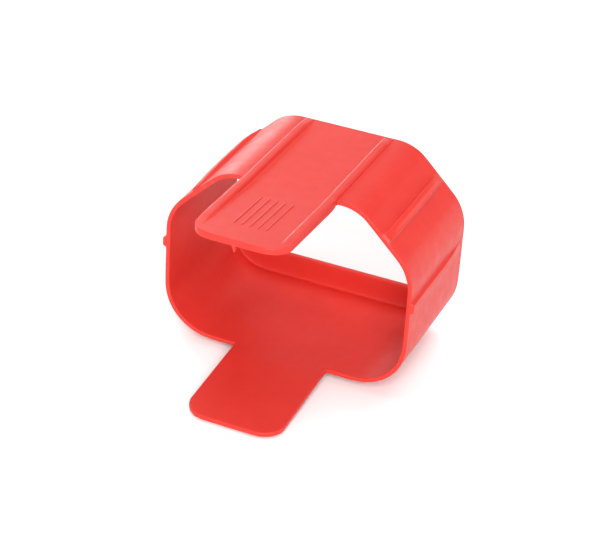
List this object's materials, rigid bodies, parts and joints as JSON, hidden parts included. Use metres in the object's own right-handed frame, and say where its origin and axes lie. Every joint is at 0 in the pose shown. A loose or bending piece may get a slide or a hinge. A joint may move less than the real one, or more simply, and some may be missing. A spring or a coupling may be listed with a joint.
{
  "type": "plug retention collar",
  "caption": "Thin plastic sleeve with chamfered upper corners, outside crush ribs, a low stop lip and finger tabs; slips over a power plug's shroud to hold it tight in its outlet.",
  "frame": {"origin": "centre of the bounding box's underside, the level of the lower tab's tip", "axes": "+X across the sleeve, -Y out of the front rim along the finger tabs, +Z from the lower panel to the upper panel"},
  "size_m": [0.03, 0.0304, 0.0238],
  "materials": {
    "red_plastic": "satin injection-moulded polypropylene with a fine even grain"
  },
  "bodies": {
    "sleeve": {"collar": "red_plastic"},
    "upper_tab": {"upper_finger_tab": "red_plastic"},
    "lower_tab": {"lower_finger_tab": "red_plastic"}
  },
  "joints": [
    {"name": "upper_tab_flex", "type": "hinge", "parent": "sleeve", "child": "upper_tab", "pos_m": [0, -0.00155, 0.02248], "axis": [1, 0, 0], "range_deg": [-12, 12], "stiffness_Nm_per_rad": 0.15},
    {"name": "lower_tab_flex", "type": "hinge", "parent": "sleeve", "child": "lower_tab", "pos_m": [0, -0.00155, 0.00128], "axis": [1, 0, 0], "range_deg": [-12, 12], "stiffness_Nm_per_rad": 0.1}
  ]
}
